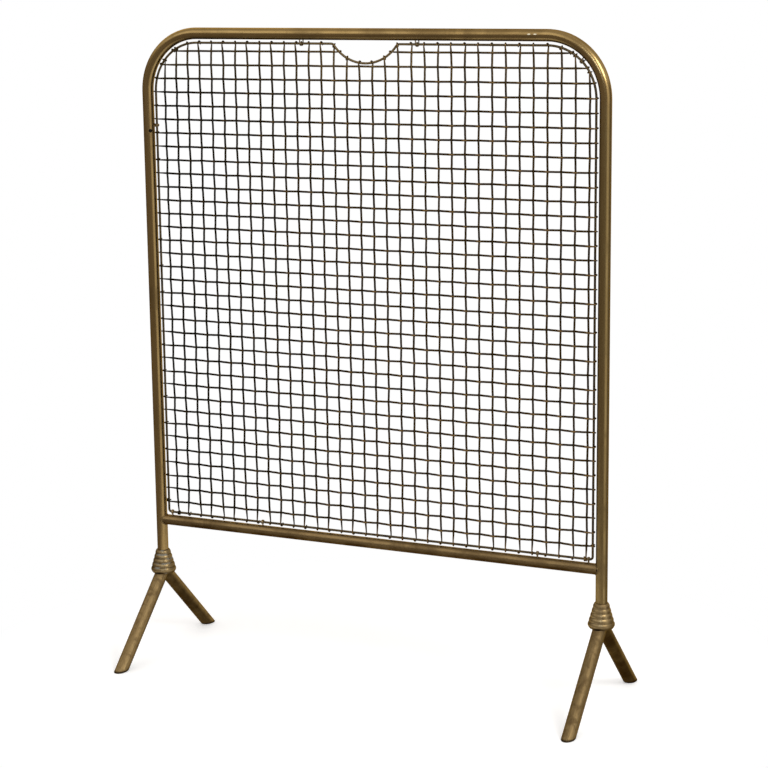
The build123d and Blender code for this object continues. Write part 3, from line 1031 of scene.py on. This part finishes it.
def collar_profile():
    """Radius, height and crevice mark up the collar's outline."""
    low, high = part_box("left_collar")
    rings, base_ring, groove, tuck, top_r = 5, 9.0 * MM, 0.7 * MM, 2.2 * MM, 11.0 * MM
    base_r = high.y - collar_play
    step = (base_r - top_r) / (rings - 1)
    rise = (high.z - low.z - base_ring) / (rings - 1)
    outline = []
    foot, foot_z = base_r - tuck, low.z
    for k in range(rings):
        ring_r = base_r - k * step
        head, head_z = ring_r - step / 2 - groove, low.z + base_ring + k * rise
        bulge = ring_r - (foot + head) / 2
        for n in range(ring_steps):
            t = n / ring_steps
            radius = foot + (head - foot) * t + bulge * math.sin(math.pi * t)
            mark = abs(2 * t - 1) ** 2 if k + t > 0 else 0.0
            outline.append((radius, foot_z + (head_z - foot_z) * t, mark))
        foot, foot_z = head, head_z
    outline.append((foot, high.z, 0.6))
    outline.append((tube_r - lip_in, high.z + lip_up, 0.8))
    return outline


for side_name, side, residue in (("left", -1, 1.0), ("right", 1, 0.35)):
    outline = collar_profile()
    rings = [level_ring(side * upright_x, radius, z) for radius, z, mark in outline]
    marks = [mark * residue for radius, z, mark in outline]
    collar = skin(side_name + "_ringed_collar", rings, foot_brass, marks)
    settle(collar, "foot_brass", side_name + "_collar")

# %% Legs
leg_r = 9.25 * MM
leg_apex = 118.5 * MM
leg_reach = 124 * MM
leg_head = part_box("left_collar")[0].z
mitre_gap = 0.1 * MM
sole_edge, edge_rise, edge_inset = 0.9 * MM, 0.3 * MM, 0.25 * MM


def leg_rings(x, side, count=40, steps=28):
    """Rings of points down one leg, cut by the collar, the other leg and the floor."""
    way = Vector((0, side * leg_reach, -leg_apex)).normalized()
    across = Vector((1, 0, 0))
    over = way.cross(across)
    rings = [[] for _ in range(steps + 2)]
    for turn in full_turn(count):
        arm = across * math.cos(turn) + over * math.sin(turn)
        start = Vector((x, 0, leg_apex)) + arm * leg_r
        under_collar = (leg_head - start.z) / way.z
        past_mitre = (side * mitre_gap / 2 - start.y) / way.y
        first = max(under_collar, past_mitre)
        last = -start.z / way.z
        for n in range(steps):
            rings[n].append(start + way * (first + (last - sole_edge - first) * n / (steps - 1)))
        rings[steps].append(start + way * (last - edge_rise) - arm * edge_inset)
        inner = start - arm * sole_edge
        rings[steps + 1].append(inner + way * (-inner.z / way.z))
    return rings


for side_name, x in (("left", -upright_x), ("right", upright_x)):
    for leg_name, side in (("front", -1), ("back", 1)):
        rings = leg_rings(x, side)
        leg = skin(f"{side_name}_{leg_name}_splayed_leg", rings, leg_brass, [0.0] * len(rings))
        settle(leg, "foot_brass", f"{side_name}_{leg_name}_leg")

# %% [markdown]
# ## Hidden pieces
# The plugs and studs inside the feet don't show, but they stay in the model and get real metals too.

# %% Metals of the hidden pieces
for side_name in ("left", "right"):
    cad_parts[side_name + "_tube_plug"].material_slots[0].material = foot_brass
    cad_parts[side_name + "_stud"].material_slots[0].material = stud_steel
print("plugs and studs dressed")

# %% [markdown]
# ## Floor, light and camera
# The floor is a pale disc that keeps the screen's shadow. The camera, and the metal's reflections,
# see it lifted to white, and towards its edge it fades into the white of the room.

# %% Floor
floor_r, floor_drop = 0.62, 0.0005
fade_start, fade_full = 0.43, 0.60
floor_lift = 0.42


def pale_floor():
    below = (0, 0, -floor_drop)
    bpy.ops.mesh.primitive_circle_add(vertices=96, radius=floor_r, fill_type="NGON", location=below)
    floor = bpy.context.object
    floor.name = "studio_floor"
    material, tree = blank_material("pale_floor")
    ray = add(tree, "ShaderNodeLightPath").outputs
    clear = math_node(tree, "MAXIMUM", ray["Is Camera Ray"], ray["Is Transmission Ray"])
    seen = math_node(tree, "MAXIMUM", clear, ray["Is Glossy Ray"])
    cloth = result(tree, "ShaderNodeBsdfDiffuse", {"Color": (0.86, 0.86, 0.85, 1)})
    lifted = times(tree, seen, floor_lift)
    lift = result(tree, "ShaderNodeEmission", {"Color": (1, 1, 1, 1), "Strength": lifted})
    both = result(tree, "ShaderNodeAddShader", {0: cloth, 1: lift})
    white = result(tree, "ShaderNodeEmission", {"Color": (1, 1, 1, 1), "Strength": 1.0})
    away = vector_node(tree, "LENGTH", add(tree, "ShaderNodeTexCoord").outputs["Object"])
    fade = times(tree, remap(tree, away, fade_start, fade_full), seen)
    faded = result(tree, "ShaderNodeMixShader", {0: fade, 1: both, 2: white})
    add(tree, "ShaderNodeOutputMaterial", {"Surface": faded})
    floor.data.materials.append(material)
    return floor


print("floor", pale_floor().name)

# %% [markdown]
# Metal shows what is round it, so the room matters more than the lamps. Behind the screen is the white
# backdrop that the camera sees. The ceiling is bright, the room behind the camera is dim, and a bright
# window stands to the right. They give the tubes their light and dark streaks. A small, cool lamp is
# seen by the metal alone, as a glint in the right bend and on the rings of the collars.

# %% World
window_side = (0.920, -0.391, 0.0)
window_start, window_full, window_level = 0.87, 0.985, 1.12
backdrop_start, backdrop_full, backdrop_top, backdrop_low = 0.72, 0.90, 0.35, 0.15
ceiling_start, ceiling_full, ceiling_level = 0.16, 0.34, 0.95
zenith_start, zenith_full, zenith_level = 0.36, 0.80, 0.60
ambient_low, ambient_high = 0.35, 0.65
dim_level, bright_level = 0.26, 1.15
dim_tint = (1.0, 0.88, 0.80, 1)


def pale_room():
    world = bpy.data.worlds.new("pale_room")
    world.use_nodes = True
    tree = world.node_tree
    tree.nodes.clear()
    ray = add(tree, "ShaderNodeLightPath").outputs
    axes = axes_of(tree, add(tree, "ShaderNodeTexCoord").outputs["Generated"])
    level_way = result(tree, "ShaderNodeCombineXYZ", {"X": axes["X"], "Y": axes["Y"]})
    level_way = vector_node(tree, "NORMALIZE", level_way)
    window_way = vector_node(tree, "DOT_PRODUCT", level_way, window_side)
    window = remap(tree, window_way, window_start, window_full, 0.0, window_level)
    behind = remap(tree, axes["Y"], backdrop_start, backdrop_full)
    backdrop = times(tree, behind, remap(tree, axes["Z"], backdrop_top, backdrop_low))
    zenith = remap(tree, axes["Z"], zenith_start, zenith_full, ceiling_level, zenith_level)
    ceiling = times(tree, remap(tree, axes["Z"], ceiling_start, ceiling_full), zenith)
    brightest = math_node(tree, "MAXIMUM", window, math_node(tree, "MAXIMUM", backdrop, ceiling))
    mirrored_room = remap(tree, brightest, 0.0, 1.2, dim_level, bright_level, soft=False)
    ambient = remap(tree, axes["Z"], -0.3, 0.7, ambient_low, ambient_high)
    shiny = ray["Is Glossy Ray"]
    level = result(tree, "ShaderNodeMix", {0: shiny, 2: ambient, 3: mirrored_room}, data_type="FLOAT")
    clear = math_node(tree, "MAXIMUM", ray["Is Camera Ray"], ray["Is Transmission Ray"])
    level = result(tree, "ShaderNodeMix", {0: clear, 2: level, 3: 1.0}, data_type="FLOAT")
    tint = blend_colour(tree, math_node(tree, "MAXIMUM", clear, brightest), dim_tint, (1, 1, 1, 1))
    sky = result(tree, "ShaderNodeBackground", {"Color": tint, "Strength": level})
    add(tree, "ShaderNodeOutputWorld", {"Surface": sky})
    return world


bpy.context.scene.world = pale_room()
print("world", bpy.context.scene.world.name)

# %% Lamps
def soft_box(name, place, aim, size, power):
    data = bpy.data.lights.new(name, "AREA")
    data.shape = "DISK"
    data.size = size
    data.energy = power
    lamp = in_scene(name, data)
    lamp.location = place
    lamp.rotation_euler = (Vector(aim) - Vector(place)).to_track_quat("-Z", "Y").to_euler()
    lamp.visible_camera = False
    return lamp


panel_middle, right_bend = (0, 0, 0.5), (0.3, 0, 0.85)
soft_box("key", (1.9, -1.05, 1.95), panel_middle, size=1.0, power=24)
soft_box("front", (-1.2, -2.0, 2.2), panel_middle, size=2.4, power=8)
soft_box("rim", (-1.8, 1.6, 2.2), panel_middle, size=1.8, power=6)
glint = soft_box("glint", (0.82, -3.0, 1.80), right_bend, size=0.60, power=9.5)
glint.data.color = (0.80, 0.97, 1.28)
glint.visible_diffuse = False

# %% Camera
camera_place = (1.2440, -2.5800, 0.9933)
yaw, pitch, roll = math.radians(25.3407), math.radians(11.3449), math.radians(-0.6642)
focal_pixels, image_pixels = 2132.77, 768
sensor = 36


def photo_camera():
    """Camera at the photograph's place, from its yaw, pitch and roll."""
    ahead = Vector((-math.sin(yaw) * math.cos(pitch), math.cos(yaw) * math.cos(pitch), -math.sin(pitch)))
    right = Vector((math.cos(yaw), math.sin(yaw), 0))
    above = right.cross(ahead)
    rolled_right = right * math.cos(roll) + above * math.sin(roll)
    rolled_above = above * math.cos(roll) - right * math.sin(roll)
    data = bpy.data.cameras.new("photo_camera")
    data.sensor_width = sensor
    data.lens = focal_pixels * sensor / image_pixels
    camera = in_scene("photo_camera", data)
    turn = Matrix((rolled_right, rolled_above, -ahead)).transposed().to_4x4()
    camera.matrix_world = Matrix.Translation(camera_place) @ turn
    return camera


bpy.context.scene.camera = photo_camera()
bpy.context.scene.view_settings.view_transform = "Standard"
print("camera", bpy.context.scene.camera.name)
